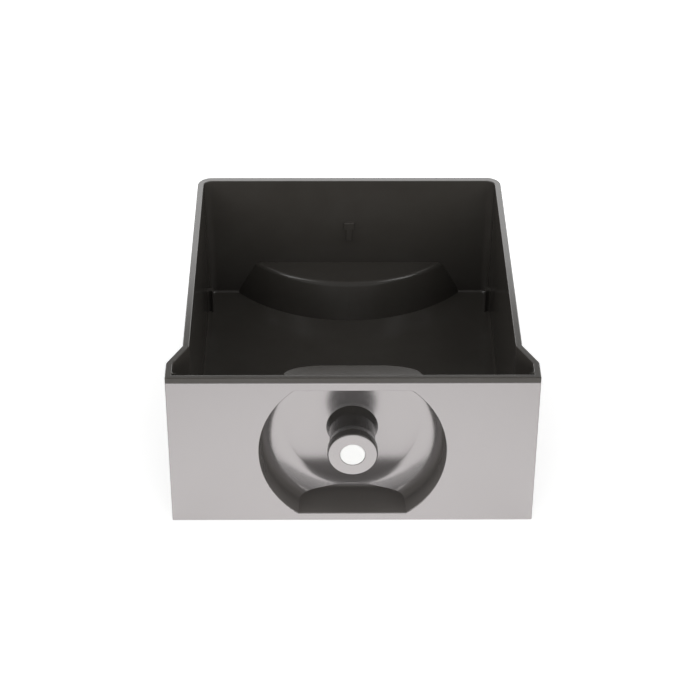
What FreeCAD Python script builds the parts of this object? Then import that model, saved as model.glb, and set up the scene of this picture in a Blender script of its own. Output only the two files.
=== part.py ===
import FreeCAD, Part
import Sketcher
import math
import os

# Drip tray drawer of a coffee machine, in millimetres.
# The origin is on the table under the middle of the tray. The front faces -Y and the rim is at the top.

doc = FreeCAD.newDocument("DripTray")

# Driving sizes: name, value.
driving = [
    # tray outline, seen from above
    ("front_width", 140.0),
    ("body_width", 128.8),
    ("tray_depth", 153.0),
    ("wide_depth", 10.4),
    ("taper_depth", 11.7),
    ("shoulder_round", 3.0),
    ("neck_round", 1.5),
    ("rear_round", 6.0),
    ("front_round", 0.6),
    # tray heights and walls
    ("tray_height", 66.4),
    ("outer_draft", 0.5),
    ("inner_draft", 0.4),
    ("side_wall", 2.5),
    ("back_wall", 3.2),
    ("front_wall", 1.8),
    ("foot_height", 9.1),
    ("floor_thickness", 2.4),
    ("floor_round", 1.2),
    ("rim_round", 0.35),
    # lip that covers the top edge of the front panel
    ("lip_height", 2.1),
    ("lip_width", 2.0),
    ("lip_bevel", 1.1),
    # raised drum in the floor at the back
    ("drum_axis_beyond", 34.5),
    ("drum_radius", 62.0),
    ("drum_slope", 6.5),
    ("drum_rise", 15.0),
    ("drum_round", 2.5),
    ("drum_wall", 2.4),
    # small catch on the back wall
    ("catch_foot", 37.6),
    ("catch_neck", 43.0),
    ("catch_top", 46.6),
    ("catch_width", 4.6),
    ("catch_stem", 2.6),
    ("catch_reach", 1.6),
    ("catch_round", 0.4),
    # small grooved post at each side wall, near the back
    ("post_setback", 20.7),
    ("post_depth", 3.0),
    ("post_inset", 5.9),
    ("post_width", 2.7),
    ("post_strip", 0.8),
    ("post_groove", 0.8),
    ("post_top", 22.0),
    ("post_round", 0.3),
    # front panel and its finger recess
    ("panel_thickness", 1.5),
    ("panel_round", 0.5),
    ("recess_radius", 35.7),
    ("recess_height", 32.4),
    ("recess_depth", 18.4),
    ("recess_draft", 0.6),
    ("recess_corner", 9.5),
    ("recess_floor", 3.5),
    ("recess_ceiling", 60.6),
    ("ceiling_fall", 5.4),
    ("recess_floor_round", 2.0),
    ("recess_top_round", 1.4),
    ("recess_edge", 0.45),
    ("nest_gap", 0.15),
    ("bulge_ease", 2.0),
    ("bulge_edge", 0.9),
    # pull knob
    ("knob_height", 31.2),
    ("knob_radius", 9.6),
    ("knob_edge", 0.8),
    ("knob_head", 3.4),
    ("knob_neck", 7.0),
    ("knob_waist", 8.8),
    ("knob_flare", 3.6),
    ("knob_base", 10.0),
    ("knob_blend", 3.0),
    ("knob_web_depth", 9.0),
    ("knob_web", 3.0),
    ("head_bore", 3.9),
    ("screw_hole", 1.95),
    # boss on the tray that carries the knob
    ("boss_radius", 4.0),
    ("boss_gap", 0.2),
    ("pilot_radius", 1.4),
    ("pilot_floor", 1.6),
    # screw
    ("screw_radius", 1.35),
    ("screw_length", 10.5),
    ("screw_head_radius", 3.4),
    ("screw_head_height", 2.4),
    ("screw_head_round", 1.2),
    ("screw_tip", 1.6),
    ("drive_width", 0.9),
    ("drive_length", 3.6),
    ("drive_depth", 1.3),
    # white cap in the face of the knob
    ("cap_radius", 4.75),
    ("cap_thickness", 1.5),
    ("cap_edge", 0.25),
    ("cap_gap", 0.1),
    ("plug_radius", 3.7),
    ("plug_wall", 0.9),
    ("plug_length", 3.0),
    ("plug_slot", 1.2),
]

# Places that follow from the driving sizes: name, formula.
following = [
    ("tray_front", "-tray_depth / 2"),
    ("half_front", "front_width / 2"),
    ("half_body", "body_width / 2"),
    ("half_front_foot", "half_front - outer_draft"),
    ("half_body_foot", "half_body - outer_draft"),
    ("back_rim", "tray_depth"),
    ("back_foot", "tray_depth - outer_draft"),
    ("shoulder", "wide_depth"),
    ("neck", "wide_depth + taper_depth"),
    ("step", "half_front - half_body"),
    ("corner_shift", "side_wall * (sqrt(step ^ 2 + taper_depth ^ 2) - taper_depth) / step"),
    ("in_front", "panel_thickness + front_wall"),
    ("in_shoulder", "shoulder - corner_shift"),
    ("in_neck", "neck - corner_shift"),
    ("in_half_front", "half_front - side_wall"),
    ("in_half_body", "half_body - side_wall"),
    ("in_back", "tray_depth - back_wall"),
    ("low_half_front", "in_half_front - outer_draft - inner_draft"),
    ("low_half_body", "in_half_body - outer_draft - inner_draft"),
    ("low_back", "in_back - outer_draft - inner_draft"),
    ("floor_top", "foot_height + floor_thickness"),
    ("in_shoulder_round", "shoulder_round - side_wall / 2"),
    ("in_neck_round", "neck_round + side_wall / 2"),
    ("in_rear_round", "rear_round - side_wall"),
    ("in_front_round", "front_round + side_wall / 2"),
    ("lip_foot", "tray_height - lip_height"),
    ("lip_bevel_foot", "tray_height - lip_bevel"),
    ("above_rim", "tray_height + side_wall"),
    ("drum_axis", "tray_depth + drum_axis_beyond"),
    ("drum_top", "floor_top + drum_rise"),
    ("drum_top_radius", "drum_radius - drum_slope"),
    ("hollow_radius", "drum_radius - drum_wall"),
    ("hollow_top_radius", "drum_top_radius - drum_wall"),
    ("hollow_top", "drum_top - drum_wall"),
    ("hollow_round", "drum_round / 2"),
    ("drum_back", "in_back + back_wall / 2"),
    ("below", "-side_wall"),
    ("half_catch", "catch_width / 2"),
    ("half_stem", "catch_stem / 2"),
    ("catch_root", "in_back + back_wall / 2"),
    ("catch_length", "catch_reach + back_wall / 2"),
    ("catch_front", "catch_root - catch_length"),
    ("post_front", "tray_depth - post_setback"),
    ("post_inner", "half_body - post_inset"),
    ("post_groove_inner", "post_inner + post_strip"),
    ("post_groove_outer", "post_inner + post_width - post_strip"),
    ("post_groove_back", "post_front + post_groove"),
    ("post_back", "post_front + post_depth"),
    ("post_root", "half_body - side_wall / 2"),
    ("post_foot", "foot_height + floor_thickness / 2"),
    ("post_length", "post_top - post_foot"),
    ("panel_top", "lip_foot"),
    ("panel_half_top", "half_front - outer_draft * lip_height / tray_height"),
    ("boss_root", "recess_depth + panel_thickness + nest_gap + front_wall / 2"),
    ("boss_front", "knob_web_depth + knob_web + boss_gap"),
    ("boss_length", "boss_root - boss_front"),
    ("boss_hole", "boss_radius + boss_gap"),
    ("pilot_length", "boss_root + front_wall / 2 - pilot_floor - boss_front"),
    ("cap_seat", "cap_thickness + cap_gap"),
    ("cap_bore", "cap_radius + cap_gap"),
    ("knob_end", "recess_depth"),
    ("knob_socket", "knob_web_depth + knob_web"),
    ("knob_flare_start", "recess_depth - knob_flare"),
    ("screw_seat", "knob_web_depth"),
    ("screw_head_front", "knob_web_depth - screw_head_height"),
    ("screw_end", "knob_web_depth + screw_length"),
    ("screw_taper", "screw_end - screw_tip"),
    ("screw_point", "screw_radius / 3"),
    ("half_drive", "drive_width / 2"),
    ("half_drive_length", "drive_length / 2"),
    ("half_panel", "panel_thickness / 2"),
    ("wall_middle", "panel_thickness + front_wall / 2"),
    ("recess_depth_half", "recess_depth / 2"),
    ("plug_end_clear", "cap_thickness + plug_length + plug_wall"),
    ("plug_inner", "plug_radius - plug_wall"),
    ("plug_end", "cap_thickness + plug_length"),
    ("half_slot", "plug_slot / 2"),
]

# Each form of the finger recess is the one before it, grown outwards by a wall or a gap.
grown_forms = [
    ("finger", "0", "below"),
    ("cup", "panel_thickness", "half_panel"),
    ("pocket", "panel_thickness + nest_gap", "below"),
    ("bulge", "panel_thickness + nest_gap + front_wall", "wall_middle"),
]
for form, growth, front in grown_forms:
    ceiling = "recess_ceiling + " + growth + " - ceiling_fall * "
    following += [
        (form + "_rim_radius", "recess_radius + " + growth),
        (form + "_back", "recess_depth + " + growth),
        (form + "_back_radius", "recess_radius - recess_draft + " + growth),
        (form + "_corner", "recess_corner + " + growth),
        (form + "_low", "recess_floor - (" + growth + ")"),
        (form + "_high", ceiling + front + " / recess_depth"),
        (form + "_high_back", ceiling + form + "_back / recess_depth"),
        (form + "_low_round", "recess_floor_round + " + growth),
        (form + "_top_round", "recess_top_round + " + growth),
    ]

following.append(("bulge_eased_corner", "bulge_corner + bulge_ease"))

sheet = doc.addObject("Spreadsheet::Sheet", "Sizes")
rows = [(name, str(size)) for name, size in driving]
rows += [(name, "=" + formula) for name, formula in following]
for number, (name, content) in enumerate(rows, 1):
    sheet.set("A%d" % number, name)
    sheet.set("B%d" % number, content)
    sheet.setAlias("B%d" % number, name)
doc.recompute()


def value(name):
    """Value of a named size or place. A minus sign in front turns it round."""
    if name == "0":
        return 0.0
    sign = -1.0 if name.startswith("-") else 1.0
    return sign * float(sheet.get(name.lstrip("-")))


def cell(name):
    """The same name as an expression that a property can follow."""
    return ("-" if name.startswith("-") else "") + "Sizes." + name.lstrip("-")


# Sketches

def corner_points(corners):
    """Start, middle and end of the round at each corner, and the corner itself where it is sharp."""
    spots = [FreeCAD.Vector(value(x), value(y), 0) for x, y, r in corners]
    out = []
    for i, (x, y, r) in enumerate(corners):
        here = spots[i]
        back = spots[i - 1] - here
        ahead = spots[(i + 1) % len(spots)] - here
        if r is None:
            out.append((here, None, here, None))
            continue
        back.normalize()
        ahead.normalize()
        half = back.getAngle(ahead) / 2
        radius = value(r)
        reach = radius / math.tan(half)
        middle_line = back + ahead
        middle_line.normalize()
        centre = here + middle_line * (radius / math.sin(half))
        middle = centre - middle_line * radius
        out.append((here + back * reach, middle, here + ahead * reach, centre))
    return out


def place_point(sketch, geometry, point, x, y):
    """Ties one point of the sketch to two named places."""
    for kind, name, axis in (("DistanceX", x, -2), ("DistanceY", y, -1)):
        if name == "0":
            sketch.addConstraint(Sketcher.Constraint("PointOnObject", geometry, point, axis))
            continue
        index = sketch.addConstraint(Sketcher.Constraint(kind, -1, 1, geometry, point, value(name)))
        sketch.setExpression("Constraints[%d]" % index, cell(name))


def outline(sketch, corners):
    """Closed outline through named corners, each sharp or rounded with a named radius."""
    points = corner_points(corners)
    count = len(corners)
    lines = []
    for i in range(count):
        start = points[i][2]
        end = points[(i + 1) % count][0]
        lines.append(sketch.addGeometry(Part.LineSegment(start, end), False))
    for i, (x, y, r) in enumerate(corners):
        before = lines[i - 1]
        after = lines[i]
        if r is None:
            sketch.addConstraint(Sketcher.Constraint("Coincident", before, 2, after, 1))
            place_point(sketch, after, 1, x, y)
            continue
        first, middle, last, centre = points[i]
        arc = sketch.addGeometry(Part.Arc(first, middle, last), False)
        starts_first = sketch.getPoint(arc, 1).isEqual(first, 1e-6)
        at_first, at_last = (1, 2) if starts_first else (2, 1)
        sketch.addConstraint(Sketcher.Constraint("Tangent", before, 2, arc, at_first))
        sketch.addConstraint(Sketcher.Constraint("Tangent", arc, at_last, after, 1))
        index = sketch.addConstraint(Sketcher.Constraint("Radius", arc, value(r)))
        sketch.setExpression("Constraints[%d]" % index, cell(r))
        spot = FreeCAD.Vector(value(x), value(y), 0)
        corner = sketch.addGeometry(Part.Point(spot), True)
        sketch.addConstraint(Sketcher.Constraint("PointOnObject", corner, 1, before))
        sketch.addConstraint(Sketcher.Constraint("PointOnObject", corner, 1, after))
        place_point(sketch, corner, 1, x, y)


def origin_plane(body, role):
    for feature in body.Origin.OriginFeatures:
        if feature.Role == role:
            return feature


def sketch_in(body, name, role, corners, shift=None):
    """Sketch on one of the body's own planes; shift names how far it stands off, per direction."""
    sketch = body.newObject("Sketcher::SketchObject", name)
    sketch.AttachmentSupport = [(origin_plane(body, role), "")]
    sketch.MapMode = "FlatFace"
    for direction, place in (shift or {}).items():
        sketch.setExpression("AttachmentOffset.Base." + direction, cell(place))
    outline(sketch, corners)
    return sketch


def new_body(name):
    return doc.addObject("PartDesign::Body", name)


def pad(body, name, sketch, length, reversed_way=False, middle=False):
    feature = body.newObject("PartDesign::Pad", name)
    feature.Profile = sketch
    feature.setExpression("Length", cell(length))
    feature.Reversed = reversed_way
    feature.Midplane = middle
    return feature


def pocket(body, name, sketch, length, reversed_way=False, middle=False):
    feature = body.newObject("PartDesign::Pocket", name)
    feature.Profile = sketch
    feature.setExpression("Length", cell(length))
    feature.Reversed = reversed_way
    feature.Midplane = middle
    return feature


def loft(body, name, kind, first, second):
    feature = body.newObject("PartDesign::" + kind, name)
    feature.Profile = first
    feature.Sections = [(second, [""])]
    feature.Ruled = True
    return feature


def spin(body, name, sketch, axis="H_Axis"):
    feature = body.newObject("PartDesign::Revolution", name)
    feature.Profile = sketch
    feature.ReferenceAxis = (sketch, [axis])
    feature.Angle = 360
    return feature


def round_edges(body, name, base, radius, chosen):
    """Rounds the edges of the last feature that the test picks out."""
    doc.recompute()
    names = ["Edge%d" % i for i, edge in enumerate(base.Shape.Edges, 1) if chosen(edge)]
    feature = body.newObject("PartDesign::Fillet", name)
    feature.Base = (base, names)
    feature.setExpression("Radius", cell(radius))
    return feature


def near(a, b):
    return abs(a - b) < 1e-3


def flat_at(edge, axis, place):
    """True for an edge that lies wholly at one height or depth."""
    box = edge.BoundBox
    low, high = {"y": (box.YMin, box.YMax), "z": (box.ZMin, box.ZMax)}[axis]
    return near(low, place) and near(high, place)


# Tray shell: outline tapers to the foot, walls are open at the top and hollow under the floor.

def plan(front_y, wide, shoulder_y, neck_y, narrow, back_y, rounds):
    """Half of the outline on the right, then mirrored to the left."""
    front_r, shoulder_r, neck_r, rear_r = rounds
    right = [
        (wide, front_y, front_r),
        (wide, shoulder_y, shoulder_r),
        (narrow, neck_y, neck_r),
        (narrow, back_y, rear_r),
    ]
    left = [("-" + x, y, r) for x, y, r in reversed(right)]
    return right + left


outer_rounds = ("front_round", "shoulder_round", "neck_round", "rear_round")
inner_rounds = ("in_front_round", "in_shoulder_round", "in_neck_round", "in_rear_round")

shell = new_body("tray_shell")
foot_sketch = sketch_in(shell, "OuterFoot", "XY_Plane", plan(
    "0", "half_front_foot", "shoulder", "neck", "half_body_foot", "back_foot", outer_rounds))
rim_sketch = sketch_in(shell, "OuterRim", "XY_Plane", plan(
    "0", "half_front", "shoulder", "neck", "half_body", "back_rim", outer_rounds), {"z": "tray_height"})
outer_form = loft(shell, "OuterForm", "AdditiveLoft", foot_sketch, rim_sketch)

rebate_sketch = sketch_in(shell, "PanelRebate", "YZ_Plane", [
    ("0", "lip_foot", None), ("panel_thickness", "lip_foot", None),
    ("panel_thickness", "below", None), ("below", "below", None), ("below", "lip_foot", None)])
panel_rebate = pocket(shell, "PanelRebateCut", rebate_sketch, "front_width", middle=True)

floor_sketch = sketch_in(shell, "CavityFloor", "XY_Plane", plan(
    "in_front", "low_half_front", "in_shoulder", "in_neck", "low_half_body", "low_back", inner_rounds),
    {"z": "floor_top"})
mouth_sketch = sketch_in(shell, "CavityMouth", "XY_Plane", plan(
    "in_front", "in_half_front", "in_shoulder", "in_neck", "in_half_body", "in_back", inner_rounds),
    {"z": "tray_height"})
cavity = loft(shell, "Cavity", "SubtractiveLoft", floor_sketch, mouth_sketch)
cavity_round = round_edges(shell, "FloorRound", cavity, "floor_round",
                           lambda edge: flat_at(edge, "z", value("floor_top")))

under_sketch = sketch_in(shell, "UnderFloor", "XY_Plane", plan(
    "in_front", "low_half_front", "in_shoulder", "in_neck", "low_half_body", "low_back", inner_rounds))
under_floor = pocket(shell, "UnderFloorHollow", under_sketch, "foot_height", reversed_way=True)

bevel_sketch = sketch_in(shell, "LipBevel", "YZ_Plane", [
    ("lip_width", "tray_height", None), ("in_front", "lip_bevel_foot", None),
    ("in_front", "above_rim", None), ("lip_width", "above_rim", None)])
doc.recompute()
lip_bevel = pocket(shell, "LipBevelCut", bevel_sketch, "front_width", middle=True)
lip_bevel.setExpression("Length", "2 * Sizes.in_half_front")
round_edges(shell, "RimRound", lip_bevel, "rim_round", lambda edge: flat_at(edge, "z", value("tray_height")))

catch_sketch = sketch_in(shell, "Catch", "XZ_Plane", [
    ("half_stem", "catch_foot", None), ("half_stem", "catch_neck", None),
    ("half_catch", "catch_neck", None), ("half_catch", "catch_top", None),
    ("-half_catch", "catch_top", None), ("-half_catch", "catch_neck", None),
    ("-half_stem", "catch_neck", None), ("-half_stem", "catch_foot", None)], {"z": "-catch_root"})
catch = pad(shell, "CatchPad", catch_sketch, "catch_length")
round_edges(shell, "CatchRound", catch, "catch_round", lambda edge: flat_at(edge, "y", value("catch_front")))


# Finger recess: a dish turned about a level axis, cut flat above and below.

def dish(form, front, low, low_round, corner, top_round):
    """One grown form of the recess, from the named front to its back."""
    turned = new_body(form + "_turned")
    profile = sketch_in(turned, form + "_profile", "YZ_Plane", [
        (front, "0", None), (front, form + "_rim_radius", None),
        (form + "_back", form + "_back_radius", corner), (form + "_back", "0", None)],
        {"y": "recess_height"})
    spin(turned, form + "_turn", profile)
    slab = new_body(form + "_slab")
    side = sketch_in(slab, form + "_side", "YZ_Plane", [
        (front, low, None), (front, form + "_high", None),
        (form + "_back", form + "_high_back", top_round), (form + "_back", low, low_round)])
    pad(slab, form + "_slab_pad", side, "front_width", middle=True)
    common = doc.addObject("Part::Common", form + "_form")
    common.Base = turned
    common.Tool = slab
    return common


finger_form = dish("finger", "below", "finger_low", "finger_low_round", "finger_corner", "finger_top_round")
cup_form = dish("cup", "half_panel", "cup_low", "cup_low_round", "cup_corner", "cup_top_round")
pocket_form = dish("pocket", "below", "below", None, "pocket_corner", "pocket_top_round")
bulge_form = dish("bulge", "wall_middle", "0", None, "bulge_eased_corner", "bulge_edge")


# Drum: a low cone that rises from the floor against the back wall, hollow from below.

def drum(name, radius, top_radius, top, low, rounded):
    body = new_body(name)
    profile = sketch_in(body, name + "_profile", "YZ_Plane", [
        ("0", low, None), ("-" + radius, low, None), ("-" + radius, "floor_top", None),
        ("-" + top_radius, top, rounded), ("0", top, None)], {"x": "drum_axis"})
    spin(body, name + "_turn", profile, "V_Axis")
    return body


drum_whole = drum("drum_outside", "drum_radius", "drum_top_radius", "drum_top", "0", "drum_round")
drum_hollow = drum("drum_inside", "hollow_radius", "hollow_top_radius", "hollow_top", "below", "hollow_round")
drum_room = doc.addObject("Part::Box", "drum_room")
drum_room.setExpression("Length", cell("front_width"))
drum_room.setExpression("Width", cell("drum_back"))
drum_room.setExpression("Height", cell("tray_height"))
drum_room.setExpression("Placement.Base.x", cell("-half_front"))
drum_form = doc.addObject("Part::Common", "drum_form")
drum_form.Base = drum_whole
drum_form.Tool = drum_room


# Small post at each side wall, with a groove down its front

def post(side, sign):
    body = new_body("post_" + side)
    plan_sketch = sketch_in(body, "post_plan_" + side, "XY_Plane", [
        (sign + "post_inner", "post_front", None), (sign + "post_groove_inner", "post_front", None),
        (sign + "post_groove_inner", "post_groove_back", None),
        (sign + "post_groove_outer", "post_groove_back", None),
        (sign + "post_groove_outer", "post_front", None), (sign + "post_root", "post_front", None),
        (sign + "post_root", "post_back", None), (sign + "post_inner", "post_back", None)],
        {"z": "post_foot"})
    upright = pad(body, "post_pad_" + side, plan_sketch, "post_length")

    def shows(edge):
        """Top edges, and upright edges of the front, away from the wall that the post stands in."""
        box = edge.BoundBox
        in_wall = near(max(-box.XMin, box.XMax), value("post_root"))
        at_face = flat_at(edge, "y", value("post_front")) or flat_at(edge, "z", value("post_top"))
        return at_face and not in_wall and box.ZMax > value("floor_top")

    round_edges(body, "post_edge_" + side, upright, "post_round", shows)
    return body


posts = [post("right", ""), post("left", "-")]


# Boss that carries the knob, and the pilot hole for its screw

def level_rod(name, radius, front, length):
    """Round rod along +Y on the knob's axis."""
    rod = doc.addObject("Part::Cylinder", name)
    rod.setExpression("Radius", cell(radius))
    rod.setExpression("Height", cell(length))
    rod.Placement = FreeCAD.Placement(FreeCAD.Vector(0, 0, 0), FreeCAD.Rotation(FreeCAD.Vector(1, 0, 0), -90))
    rod.setExpression("Placement.Base.y", cell(front))
    rod.setExpression("Placement.Base.z", cell("knob_height"))
    return rod


def fused(name, pieces):
    fuse = doc.addObject("Part::MultiFuse", name)
    fuse.Shapes = pieces
    return fuse


def cut(name, base, tool):
    piece = doc.addObject("Part::Cut", name)
    piece.Base = base
    piece.Tool = tool
    return piece


boss = level_rod("boss", "boss_radius", "boss_front", "boss_length")
pilot = level_rod("pilot", "pilot_radius", "boss_front", "pilot_length")

walls = fused("tray_walls", [shell, drum_form, bulge_form] + posts)
hollows = fused("tray_hollows", [drum_hollow, pocket_form])
moulding = cut("tray_moulding", walls, hollows)


def rounded(name, base, radius, chosen):
    """Rounds the picked edges of a finished form."""
    doc.recompute()
    feature = doc.addObject("Part::Fillet", name)
    feature.Base = base
    size = value(radius)
    numbered = enumerate(base.Shape.Edges, 1)
    feature.Edges = [(number, size, size) for number, edge in numbered if chosen(edge)]
    return feature


with_boss = fused("tray_with_boss", [moulding, boss])
tray = cut("tray", with_boss, pilot)


# Front panel: flat plate with the recess drawn in behind it

plate = new_body("panel_plate")
plate_sketch = sketch_in(plate, "PlateOutline", "XZ_Plane", [
    ("half_front_foot", "0", None), ("panel_half_top", "panel_top", None),
    ("-panel_half_top", "panel_top", None), ("-half_front_foot", "0", None)])
plate_pad = pad(plate, "PlatePad", plate_sketch, "panel_thickness", reversed_way=True)
round_edges(plate, "PlateRound", plate_pad, "panel_round", lambda edge: flat_at(edge, "y", 0.0))
panel_hole = level_rod("panel_hole", "boss_hole", "recess_depth_half", "recess_depth")
panel_solid = fused("panel_solid", [plate, cup_form])
panel_tools = fused("panel_tools", [finger_form, panel_hole])
panel_cut = cut("panel_cut", panel_solid, panel_tools)


def on_recess_outline(edge):
    """True for the front edges of the recess, and not for those of the plate."""
    box = edge.BoundBox
    reach = value("recess_radius") + value("panel_round")
    return flat_at(edge, "y", 0.0) and max(-box.XMin, box.XMax) < reach


panel = rounded("panel", panel_cut, "recess_edge", on_recess_outline)


# Pull knob: turned about its own level axis, open at the back for the boss and at the front for the cap

def turned_piece(name, corners):
    body = new_body(name)
    profile = sketch_in(body, name + "_profile", "YZ_Plane", corners, {"y": "knob_height"})
    spin(body, name + "_turn", profile)
    return body


knob = turned_piece("pull_knob", [
    ("0", "cap_bore", None), ("0", "knob_radius", "knob_edge"), ("knob_head", "knob_radius", "knob_edge"),
    ("knob_neck", "knob_waist", "knob_blend"), ("knob_flare_start", "knob_waist", "knob_blend"),
    ("knob_end", "knob_base", None), ("knob_end", "boss_hole", None),
    ("knob_socket", "boss_hole", None), ("knob_socket", "screw_hole", None),
    ("screw_seat", "screw_hole", None), ("screw_seat", "head_bore", None),
    ("cap_seat", "head_bore", None), ("cap_seat", "cap_bore", None)])

screw = turned_piece("knob_screw", [
    ("screw_head_front", "0", None), ("screw_head_front", "screw_head_radius", "screw_head_round"),
    ("screw_seat", "screw_head_radius", None), ("screw_seat", "screw_radius", None),
    ("screw_taper", "screw_radius", None), ("screw_end", "screw_point", None), ("screw_end", "0", None)])
drive = sketch_in(screw, "DriveCross", "XZ_Plane", [
    ("half_drive", "half_drive", None), ("half_drive", "half_drive_length", None),
    ("-half_drive", "half_drive_length", None), ("-half_drive", "half_drive", None),
    ("-half_drive_length", "half_drive", None), ("-half_drive_length", "-half_drive", None),
    ("-half_drive", "-half_drive", None), ("-half_drive", "-half_drive_length", None),
    ("half_drive", "-half_drive_length", None), ("half_drive", "-half_drive", None),
    ("half_drive_length", "-half_drive", None), ("half_drive_length", "half_drive", None)],
    {"y": "knob_height", "z": "-screw_head_front"})
doc.recompute()
pocket(screw, "DriveRecess", drive, "drive_depth")

cap = turned_piece("knob_cap", [
    ("0", "0", None), ("0", "cap_radius", "cap_edge"), ("cap_thickness", "cap_radius", None),
    ("cap_thickness", "plug_radius", None), ("plug_end", "plug_radius", None),
    ("plug_end", "plug_inner", None), ("cap_thickness", "plug_inner", None),
    ("cap_thickness", "0", None)])
slot = sketch_in(cap, "PlugSlot", "YZ_Plane", [
    ("cap_thickness", "-half_slot", None), ("plug_end_clear", "-half_slot", None),
    ("plug_end_clear", "half_slot", None), ("cap_thickness", "half_slot", None)], {"y": "knob_height"})
doc.recompute()
pocket(cap, "PlugSlotCut", slot, "front_width", middle=True)

parts = {
    "tray_body": tray,
    "front_panel": panel,
    "pull_knob": knob,
    "knob_screw": screw,
    "knob_cap": cap,
}
for piece in parts.values():
    piece.setExpression("Placement.Base.y", cell("tray_front"))
doc.recompute()
for obj in doc.Objects:
    if "Invalid" in obj.State or "Error" in obj.State:
        raise RuntimeError("%s did not build: %s" % (obj.Name, obj.State))
os.makedirs("parts", exist_ok=True)
for name, piece in parts.items():
    piece.Label = name
    shape = piece.Shape
    if shape.isNull() or not shape.isValid():
        raise RuntimeError(name + " has no valid shape")
    shape.exportStep("parts/%s.step" % name)
    box = shape.optimalBoundingBox(False)
    print("%s: %d solid, %.0f cubic mm, x %.1f to %.1f, y %.1f to %.1f, z %.1f to %.1f" % (
        name, len(shape.Solids), shape.Volume, box.XMin, box.XMax, box.YMin, box.YMax, box.ZMin, box.ZMax))
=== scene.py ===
import math

import bpy
from mathutils import Matrix, Vector

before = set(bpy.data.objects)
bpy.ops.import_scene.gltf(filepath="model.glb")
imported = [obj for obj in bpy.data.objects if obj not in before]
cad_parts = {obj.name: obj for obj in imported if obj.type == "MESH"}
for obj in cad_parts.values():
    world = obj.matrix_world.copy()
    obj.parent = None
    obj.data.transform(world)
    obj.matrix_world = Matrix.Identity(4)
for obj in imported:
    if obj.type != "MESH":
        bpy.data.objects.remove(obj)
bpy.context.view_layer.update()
print("drip tray: packed frame loaded")

mmPerMetre = 1000.0
bumpDepth = 0.0001   # metres


# small helpers for node trees

def addNode(tree, kind, place=(0, 0), **settings):
    node = tree.nodes.new(kind)
    node.location = place
    for name, setting in settings.items():
        setattr(node, name, setting)
    return node


def newGroup(name, inputs, outputs):   # inputs: (name, default), outputs: name
    group = bpy.data.node_groups.new(name, "ShaderNodeTree")
    for label, default in inputs:
        socket = group.interface.new_socket(name=label, in_out="INPUT", socket_type="NodeSocketFloat")
        socket.default_value = default
    for label in outputs:
        group.interface.new_socket(name=label, in_out="OUTPUT", socket_type="NodeSocketFloat")
    entry = addNode(group, "NodeGroupInput", (-900, 0))
    leave = addNode(group, "NodeGroupOutput", (700, 0))
    return group, entry, leave


def placeGroup(tree, group, place, **values):
    node = addNode(tree, "ShaderNodeGroup", place, node_tree=group)
    for label, setting in values.items():
        node.inputs[label.replace("_", " ")].default_value = setting
    return node


def newMaterial(name, **sockets):
    material = bpy.data.materials.new(name)
    material.use_nodes = True
    shader = material.node_tree.nodes["Principled BSDF"]
    for label, setting in sockets.items():
        shader.inputs[label.replace("_", " ")].default_value = setting
    return material, shader


def remap(tree, source, low, high, place):
    node = addNode(tree, "ShaderNodeMapRange", place)
    node.inputs["To Min"].default_value = low
    node.inputs["To Max"].default_value = high
    tree.links.new(source, node.inputs["Value"])
    return node.outputs["Result"]


# each colour is a tuple or another node's output, and the mask goes from the first to the second
def blendColours(tree, mask, first, second, place):
    node = addNode(tree, "ShaderNodeMix", place, data_type="RGBA")
    tree.links.new(mask, node.inputs[0])
    for number, colour in ((6, first), (7, second)):   # a colour mix has A and B at 6 and 7, and its result at 2
        if isinstance(colour, tuple):
            node.inputs[number].default_value = colour
        else:
            tree.links.new(colour, node.inputs[number])
    return node.outputs[2]


# noise in the object's own space, its size in mm taken from the group's input of that name
def addNoise(group, entry, sizeName, detail, height):
    spot = addNode(group, "ShaderNodeTexCoord", (-700, height - 150))
    perMetre = addNode(group, "ShaderNodeMath", (-700, height), operation="DIVIDE")
    perMetre.inputs[0].default_value = mmPerMetre
    group.links.new(entry.outputs[sizeName], perMetre.inputs[1])
    noise = addNode(group, "ShaderNodeTexNoise", (-450, height))
    noise.inputs["Detail"].default_value = detail
    group.links.new(spot.outputs["Object"], noise.inputs["Vector"])
    group.links.new(perMetre.outputs[0], noise.inputs["Scale"])
    return noise


# shared effects

skinShape = {
    "grainDetail": 3.0,
    "waveDetail": 2.0,
    "waveShare": 0.12,   # the waviness counts less than the grain
}


# fine skin of a moulded or sprayed surface: a soft waviness under a fine grain
def buildMouldedSkin(shape):
    group, entry, leave = newGroup(
        "mouldedSkin", [("Grain Size", 0.3), ("Wave Size", 12.0)], ["Height", "Wave", "Speck"])
    grain = addNoise(group, entry, "Grain Size", shape["grainDetail"], 200)
    wave = addNoise(group, entry, "Wave Size", shape["waveDetail"], -200)
    height = addNode(group, "ShaderNodeMath", (100, 100), operation="MULTIPLY_ADD")
    height.inputs[1].default_value = shape["waveShare"]
    group.links.new(wave.outputs["Fac"], height.inputs[0])
    group.links.new(grain.outputs["Fac"], height.inputs[2])
    group.links.new(height.outputs[0], leave.inputs["Height"])
    group.links.new(wave.outputs["Fac"], leave.inputs["Wave"])
    group.links.new(grain.outputs["Fac"], leave.inputs["Speck"])
    return group


handlingShape = {
    "detail": 5.0,
    "noiseRoughness": 0.6,
    "patchBand": (0.45, 0.75),   # noise values where a patch begins and is full
}


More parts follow.
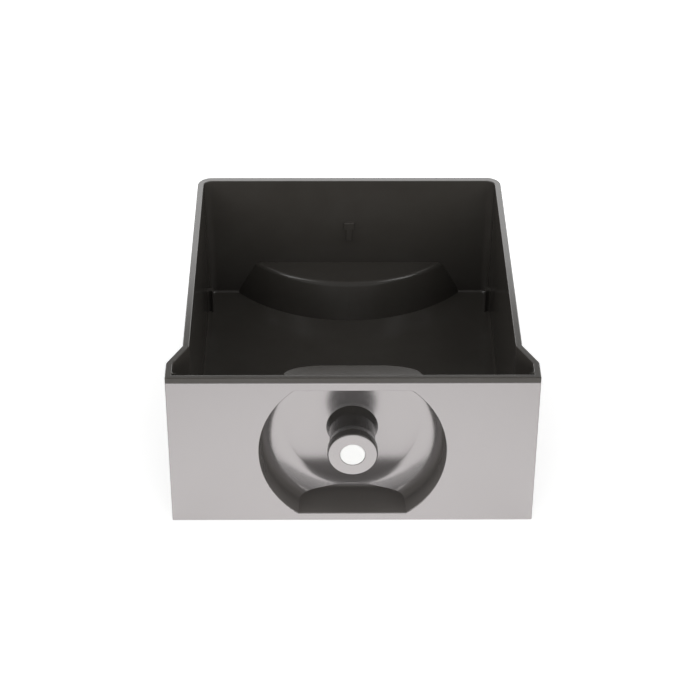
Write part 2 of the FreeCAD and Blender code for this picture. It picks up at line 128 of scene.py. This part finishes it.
# thin dust and rubbed marks that gather in patches
def buildHandling(shape):
    group, entry, leave = newGroup("handling", [("Patch Size", 30.0), ("Amount", 0.3)], ["Marks"])
    patch = addNoise(group, entry, "Patch Size", shape["detail"], 150)
    patch.inputs["Roughness"].default_value = shape["noiseRoughness"]
    band = addNode(group, "ShaderNodeMapRange", (-200, 150))
    band.inputs["From Min"].default_value, band.inputs["From Max"].default_value = shape["patchBand"]
    group.links.new(patch.outputs["Fac"], band.inputs["Value"])
    share = addNode(group, "ShaderNodeMath", (50, 100), operation="MULTIPLY")
    group.links.new(band.outputs["Result"], share.inputs[0])
    group.links.new(entry.outputs["Amount"], share.inputs[1])
    group.links.new(share.outputs[0], leave.inputs["Marks"])
    return group


mouldedSkin = buildMouldedSkin(skinShape)
handling = buildHandling(handlingShape)
print("drip tray: shared effects built")


def addSkin(tree, shader, finish):
    skin = placeGroup(tree, mouldedSkin, (-900, 0),
                      Grain_Size=finish["grainSize"], Wave_Size=finish["waveSize"])
    bump = addNode(tree, "ShaderNodeBump", (-350, -250))
    bump.inputs["Strength"].default_value = finish["bump"]
    bump.inputs["Distance"].default_value = bumpDepth
    tree.links.new(skin.outputs["Height"], bump.inputs["Height"])
    tree.links.new(bump.outputs["Normal"], shader.inputs["Normal"])
    return skin


def addRoughness(tree, shader, mask, finish):
    low, high = finish["roughness"]
    tree.links.new(remap(tree, mask, low, high, (-350, 0)), shader.inputs["Roughness"])


# tray: glossy dark moulded plastic

trayFinish = {
    "colour": (0.0520, 0.0475, 0.0420, 1),
    "dustColour": (0.078, 0.074, 0.069, 1),
    "ior": 1.5,
    "roughness": (0.13, 0.21),
    "grainSize": 0.25,     # mm
    "waveSize": 25.0,
    "bump": 0.03,
    "dust": 0.30,
}


def trayMaterial(finish):
    material, shader = newMaterial("darkTrayPlastic", IOR=finish["ior"])
    tree = material.node_tree
    skin = addSkin(tree, shader, finish)
    marks = placeGroup(tree, handling, (-900, -300), Amount=finish["dust"])
    colour = blendColours(tree, marks.outputs["Marks"], finish["colour"], finish["dustColour"], (-350, 200))
    tree.links.new(colour, shader.inputs["Base Color"])
    addRoughness(tree, shader, skin.outputs["Wave"], finish)
    return material


# front panel and knob: satin silver lacquer, with painted shade on the sides that turn away from the front

silverFinish = {
    "colour": (0.475, 0.452, 0.452, 1),
    "deepColour": (0.405, 0.384, 0.384, 1),
    "paintedShadeColour": (0.145, 0.134, 0.125, 1),   # painted shade, dark and less metallic, on steep sides and the recess floor
    "metallic": 0.85,
    "shadeMetallic": 0.2,
    "reach": (0.25, 0.90),   # how squarely a surface faces the front where the painted shade gives way to silver and where the silver is full
    "roughness": (0.18, 0.26),
    "grainSize": 0.18,
    "waveSize": 20.0,
    "bump": 0.08,
    "marks": 0.4,
}
# the knob is silver only on its face; its neck gets a darker painted shade
knobFinish = {
    **silverFinish,
    "paintedShadeColour": (0.045, 0.042, 0.039, 1),
    "shadeMetallic": 0.0,
    "reach": (0.75, 0.97),
}


# painted shade: the silver turns dark and less metallic on the sides that turn away from the front, which faces
# -Y
def paintedFacingShade(tree, finish):
    spot = addNode(tree, "ShaderNodeTexCoord", (-1100, 500))
    parts = addNode(tree, "ShaderNodeSeparateXYZ", (-900, 500))
    tree.links.new(spot.outputs["Normal"], parts.inputs[0])
    forward = addNode(tree, "ShaderNodeMath", (-700, 500), operation="MULTIPLY")
    forward.inputs[1].default_value = -1.0
    tree.links.new(parts.outputs["Y"], forward.inputs[0])
    reach = addNode(tree, "ShaderNodeMapRange", (-500, 500), interpolation_type="SMOOTHSTEP")
    reach.inputs["From Min"].default_value, reach.inputs["From Max"].default_value = finish["reach"]
    tree.links.new(forward.outputs[0], reach.inputs["Value"])
    return reach.outputs["Result"]


def silverMaterial(name, finish):
    material, shader = newMaterial(name)
    tree = material.node_tree
    skin = addSkin(tree, shader, finish)
    marks = placeGroup(tree, handling, (-900, -300), Amount=finish["marks"])
    reach = paintedFacingShade(tree, finish)
    flakes = blendColours(tree, skin.outputs["Speck"], finish["deepColour"], finish["colour"], (-350, 200))
    # painted shade: colour and metal fall off where the surface turns away from the front
    colour = blendColours(tree, reach, finish["paintedShadeColour"], flakes, (-150, 300))
    metal = remap(tree, reach, finish["shadeMetallic"], finish["metallic"], (-150, 100))
    tree.links.new(colour, shader.inputs["Base Color"])
    tree.links.new(metal, shader.inputs["Metallic"])
    addRoughness(tree, shader, marks.outputs["Marks"], finish)
    return material


# cap in the knob: plain white plastic

capFinish = {
    "colour": (0.86, 0.86, 0.85, 1),
    "shade": (0.80, 0.80, 0.79, 1),
    "metallic": 0.0,
    "roughness": (0.3, 0.4),
    "grainSize": 0.3,
    "waveSize": 12.0,
    "bump": 0.04,
}

# screw behind the cap: zinc-plated steel

screwFinish = {
    "colour": (0.62, 0.61, 0.58, 1),
    "shade": (0.5, 0.49, 0.46, 1),
    "metallic": 1.0,
    "roughness": (0.25, 0.4),
    "grainSize": 0.3,
    "waveSize": 12.0,
    "bump": 0.1,
}


def shadedMaterial(name, finish):
    material, shader = newMaterial(name, Metallic=finish["metallic"])
    tree = material.node_tree
    skin = addSkin(tree, shader, finish)
    colour = blendColours(tree, skin.outputs["Wave"], finish["shade"], finish["colour"], (-350, 200))
    tree.links.new(colour, shader.inputs["Base Color"])
    addRoughness(tree, shader, skin.outputs["Wave"], finish)
    return material


finishes = {
    "tray_body": (trayMaterial(trayFinish), "dark_plastic"),
    "front_panel": (silverMaterial("silverLacquer", silverFinish), "silver_finish"),
    "pull_knob": (silverMaterial("knobLacquer", knobFinish), "silver_finish"),
    "knob_cap": (shadedMaterial("whiteCap", capFinish), "white_plastic"),
    "knob_screw": (shadedMaterial("zincScrew", screwFinish), "zinc_steel"),
}
for name, (material, slotName) in finishes.items():
    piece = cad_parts[name]
    piece.data.materials.clear()
    piece.data.materials.append(material)
print("drip tray: finishes set on", len(finishes), "pieces")


# studio: pale floor, pale surroundings and soft lamps

floorSettings = {
    "size": 6.0,
    "colour": (0.86, 0.86, 0.86, 1),
    "roughness": 0.8,
    "glowColour": (1, 1, 1, 1),
    "glow": 0.50,                      # added where the camera sees the floor
    "sheenCentre": (0.0, -0.08, 0.0),  # foot of the silver front
    "sheenNear": 0.65,                 # painted reflection: glow added in reflections only, at that place
    "sheenFar": 0.0,                   # and from sheenReach on
    "sheenReach": 0.24,
}


# painted reflection: glow that only reflections see, full at the foot of the front and fading with the distance
# from it, which lightens the silver front towards its bottom
def paintedReflectionGlow(tree, settings):
    spot = addNode(tree, "ShaderNodeTexCoord", (-1300, -500))
    apart = addNode(tree, "ShaderNodeVectorMath", (-1100, -500), operation="DISTANCE")
    apart.inputs[1].default_value = settings["sheenCentre"]
    tree.links.new(spot.outputs["Object"], apart.inputs[0])
    sheen = addNode(tree, "ShaderNodeMapRange", (-900, -500), interpolation_type="SMOOTHSTEP")
    sheen.inputs["From Max"].default_value = settings["sheenReach"]
    sheen.inputs["To Min"].default_value = settings["sheenNear"]
    sheen.inputs["To Max"].default_value = settings["sheenFar"]
    tree.links.new(apart.outputs["Value"], sheen.inputs["Value"])
    return sheen.outputs["Result"]


def buildFloor(settings):
    half = settings["size"] / 2
    corners = [(-half, -half, 0), (half, -half, 0), (half, half, 0), (-half, half, 0)]
    mesh = bpy.data.meshes.new("floor")
    mesh.from_pydata(corners, [], [(0, 1, 2, 3)])
    floor = bpy.data.objects.new("floor", mesh)
    bpy.context.scene.collection.objects.link(floor)
    material, shader = newMaterial("paleFloor", Base_Color=settings["colour"], Roughness=settings["roughness"],
                                   Emission_Color=settings["glowColour"])
    tree = material.node_tree
    rays = addNode(tree, "ShaderNodeLightPath", (-900, -300))
    # painted reflection: the floor glows for glossy rays only, strongest near the tray's front
    mirrored = addNode(tree, "ShaderNodeMath", (-650, -500), operation="MULTIPLY")
    tree.links.new(rays.outputs["Is Glossy Ray"], mirrored.inputs[0])
    tree.links.new(paintedReflectionGlow(tree, settings), mirrored.inputs[1])
    glow = addNode(tree, "ShaderNodeMath", (-400, -300), operation="MULTIPLY_ADD")
    glow.inputs[1].default_value = settings["glow"]
    tree.links.new(rays.outputs["Is Camera Ray"], glow.inputs[0])
    tree.links.new(mirrored.outputs[0], glow.inputs[2])
    tree.links.new(glow.outputs[0], shader.inputs["Emission Strength"])
    mesh.materials.append(material)


worldSettings = {
    "colour": (1, 1, 1, 1),
    "horizonLevel": 0.60,
    "overheadLevel": 0.30,
    "overheadRise": 0.75,    # sine of the angle above level where the overhead level is reached
    "backdropLevel": 1.0,    # where the camera looks past the floor
}


def buildWorld(settings):
    world = bpy.data.worlds.new("studio")
    bpy.context.scene.world = world
    world.use_nodes = True
    tree = world.node_tree
    background = tree.nodes["Background"]
    background.inputs["Color"].default_value = settings["colour"]
    toward = addNode(tree, "ShaderNodeTexCoord", (-1100, -200))
    parts = addNode(tree, "ShaderNodeSeparateXYZ", (-900, -200))
    tree.links.new(toward.outputs["Generated"], parts.inputs[0])
    sky = addNode(tree, "ShaderNodeMapRange", (-700, -200))
    sky.inputs["From Max"].default_value = settings["overheadRise"]
    sky.inputs["To Min"].default_value = settings["horizonLevel"]
    sky.inputs["To Max"].default_value = settings["overheadLevel"]
    tree.links.new(parts.outputs["Z"], sky.inputs["Value"])
    rays = addNode(tree, "ShaderNodeLightPath", (-700, 0))
    level = addNode(tree, "ShaderNodeMix", (-300, 0), data_type="FLOAT")   # its A and B are inputs 2 and 3
    tree.links.new(sky.outputs["Result"], level.inputs[2])
    level.inputs[3].default_value = settings["backdropLevel"]
    tree.links.new(rays.outputs["Is Camera Ray"], level.inputs[0])
    tree.links.new(level.outputs[0], background.inputs["Strength"])


lampSettings = [  # name, place, size across, size along, power, aim, seen in reflections
    ("leftLamp", (-0.75, -0.20, 0.95), 0.3, 0.9, 2.4, (0, 0, 0.03), True),
    ("rightLamp", (0.75, -0.20, 0.95), 0.3, 0.9, 2.4, (0, 0, 0.03), True),
    ("frontLamp", (0.0, -1.20, 0.30), 1.0, 0.35, 7.0, (0, 0, 0.03), False),
    ("lowLamp", (0.0, -0.27, 0.02), 0.50, 0.08, 0.10, (0, 0, 0.03), False),
    ("backLamp", (0.0, 0.60, 0.30), 1.2, 0.26, 2.6, (0, 0, 0.06), True),
]


def buildLamps(settings):
    for name, place, across, along, power, aim, mirrored in settings:
        lamp = bpy.data.lights.new(name, "AREA")
        lamp.shape = "RECTANGLE"
        lamp.size = across
        lamp.size_y = along
        lamp.energy = power
        holder = bpy.data.objects.new(name, lamp)
        holder.location = place
        direction = Vector(aim) - holder.location
        holder.rotation_euler = direction.to_track_quat("-Z", "Y").to_euler()
        holder.visible_camera = False
        holder.visible_glossy = mirrored
        bpy.context.scene.collection.objects.link(holder)


# camera at the photo's angle

cameraSettings = {
    "place": (-0.0103, -0.7685, 0.5345),
    "tilt": 33.36,    # degrees below level
    "turn": 0.75,     # degrees to the right
    "roll": 0.32,
    "lens": 115.87,
    "sensor": 36.0,
}


def buildCamera(settings):
    data = bpy.data.cameras.new("camera")
    data.lens = settings["lens"]
    data.sensor_width = settings["sensor"]
    camera = bpy.data.objects.new("camera", data)
    turn, tilt, roll = (math.radians(settings[key]) for key in ("turn", "tilt", "roll"))
    facing = (Matrix.Rotation(-turn, 4, "Z") @ Matrix.Rotation(math.pi / 2 - tilt, 4, "X")
              @ Matrix.Rotation(roll, 4, "Z"))
    camera.rotation_euler = facing.to_euler()
    camera.location = settings["place"]
    bpy.context.scene.collection.objects.link(camera)
    bpy.context.scene.camera = camera


buildFloor(floorSettings)
buildWorld(worldSettings)
buildLamps(lampSettings)
buildCamera(cameraSettings)
bpy.context.scene.view_settings.view_transform = "Standard"
print("drip tray: studio ready")
